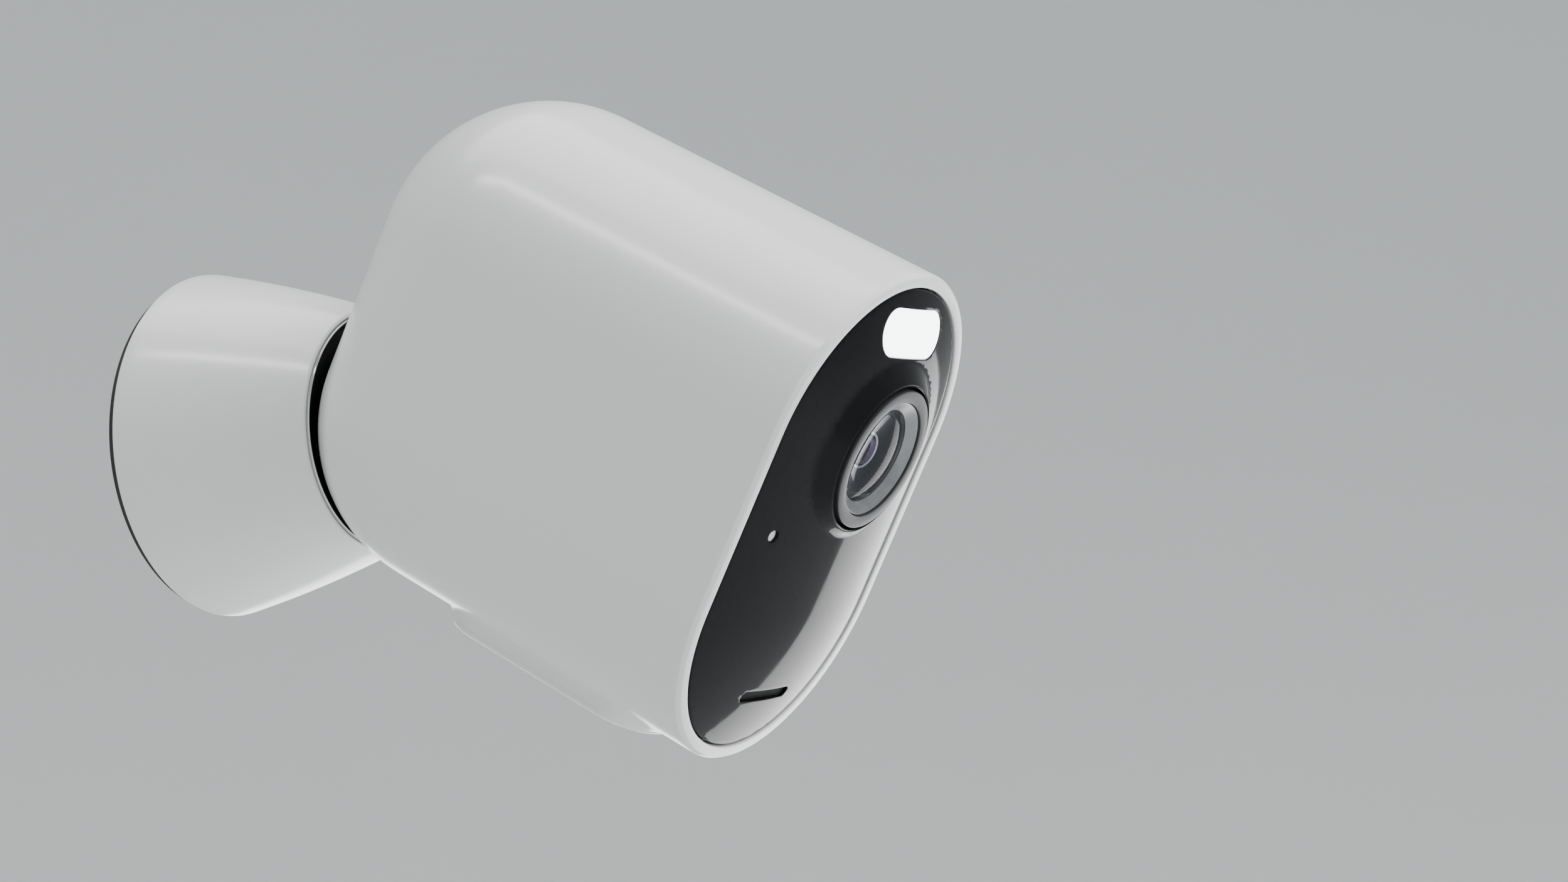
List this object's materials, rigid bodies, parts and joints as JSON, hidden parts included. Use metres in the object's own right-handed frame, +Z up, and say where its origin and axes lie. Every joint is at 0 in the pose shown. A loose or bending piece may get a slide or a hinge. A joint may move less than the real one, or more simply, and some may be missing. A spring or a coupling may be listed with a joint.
{
  "type": "spotlight security camera",
  "caption": "Wire-free spotlight security camera: white capsule housing, domed black face with lens and lit window, on a conical magnetic wall mount.",
  "frame": {"origin": "centre of the mount's back face, on the wall", "axes": "+Y into the wall along the mount's axis, +Z up, so the camera stands out towards -Y and looks down 30 degrees"},
  "size_m": [0.056, 0.1302, 0.1014],
  "materials": {
    "pad_rubber": "matt",
    "mount_plastic": "matt",
    "white_shell": "satin",
    "dish_chrome": "polished",
    "grip_rubber": "matt",
    "steel": "satin",
    "dark_plastic": "matt",
    "gold": "polished",
    "face_black": "high gloss",
    "ring_metal": "satin anodised",
    "lens_glass": "coated",
    "light_lens": "frosted",
    "reflector_white": "gloss",
    "board_alu": "satin",
    "led_phosphor": "satin",
    "board_green": "satin",
    "battery_wrap": "satin"
  },
  "bodies": {
    "wall_mount": {"wall_pad": "pad_rubber", "base_plate": "mount_plastic", "cone_cover": "white_shell", "dish_cup": "dish_chrome", "grip_pad": "grip_rubber", "magnet": "steel", "magnet_yoke": "steel", "cup_screw": "steel"},
    "striker": {"striker_plate": "steel"},
    "striker_carrier": {"striker_bracket": "dark_plastic"},
    "housing": {"housing_shell": "white_shell", "trim_ring": "white_shell", "foot_pad": "white_shell", "latch_bracket": "dark_plastic", "release_spring": "steel", "charge_port": "dark_plastic", "charge_contacts": "gold"},
    "release_button": {"release_button": "dark_plastic", "release_latch": "steel"},
    "sync_button": {"sync_button": "dark_plastic"},
    "module": {"module_tray": "dark_plastic", "module_gasket": "grip_rubber", "face_panel": "face_black", "lens_trim_ring": "ring_metal", "lens_hood_ring": "ring_metal", "lens_front_glass": "lens_glass", "lens_barrel": "dark_plastic", "lens_aperture_ring": "ring_metal", "lens_inner_element": "lens_glass", "lens_rear_element": "lens_glass", "lens_holder": "dark_plastic", "sensor_board": "board_green", "image_sensor": "dark_plastic", "spotlight_window": "light_lens", "spotlight_reflector": "reflector_white", "spotlight_board": "board_alu", "spotlight_leds": "led_phosphor", "slot_mesh": "dark_plastic", "light_sensor_window": "lens_glass", "light_sensor": "dark_plastic", "infrared_leds": "lens_glass", "status_led": "reflector_white", "motion_sensor": "steel", "speaker": "dark_plastic", "microphone": "steel", "front_board": "board_green", "board_posts": "dark_plastic", "board_screws": "steel", "main_board": "board_green", "processor_shield": "steel", "radio_shield": "steel", "wifi_antenna": "gold", "sync_switch": "dark_plastic", "battery_contacts": "gold", "battery_pack": "battery_wrap"}
  },
  "joints": [
    {"name": "camera_twist", "type": "hinge", "parent": "wall_mount", "child": "striker", "pos_m": [0, -0.0523, -0.0015], "axis": [0, 1, 0], "range_deg": [-45, 45]},
    {"name": "camera_tilt", "type": "hinge", "parent": "striker", "child": "striker_carrier", "pos_m": [0, -0.0523, -0.0015], "axis": [1, 0, 0], "range_deg": [-5, 22]},
    {"name": "camera_pan", "type": "hinge", "parent": "striker_carrier", "child": "housing", "pos_m": [0, -0.0523, -0.0015], "axis": [0, -0.5, 0.866], "range_deg": [-30, 30]},
    {"name": "module_slide", "type": "slide", "parent": "housing", "child": "module", "axis": [0, -0.866, -0.5], "range_m": [0, 0.063]},
    {"name": "release_press", "type": "slide", "parent": "housing", "child": "release_button", "axis": [0, -0.5, 0.866], "range_m": [0, 0.001], "stiffness_N_per_m": 1000, "springref_m": -0.001},
    {"name": "sync_press", "type": "slide", "parent": "housing", "child": "sync_button", "axis": [0, -0.5, 0.866], "range_m": [0, 0.0005], "stiffness_N_per_m": 2000, "springref_m": -0.0005}
  ]
}
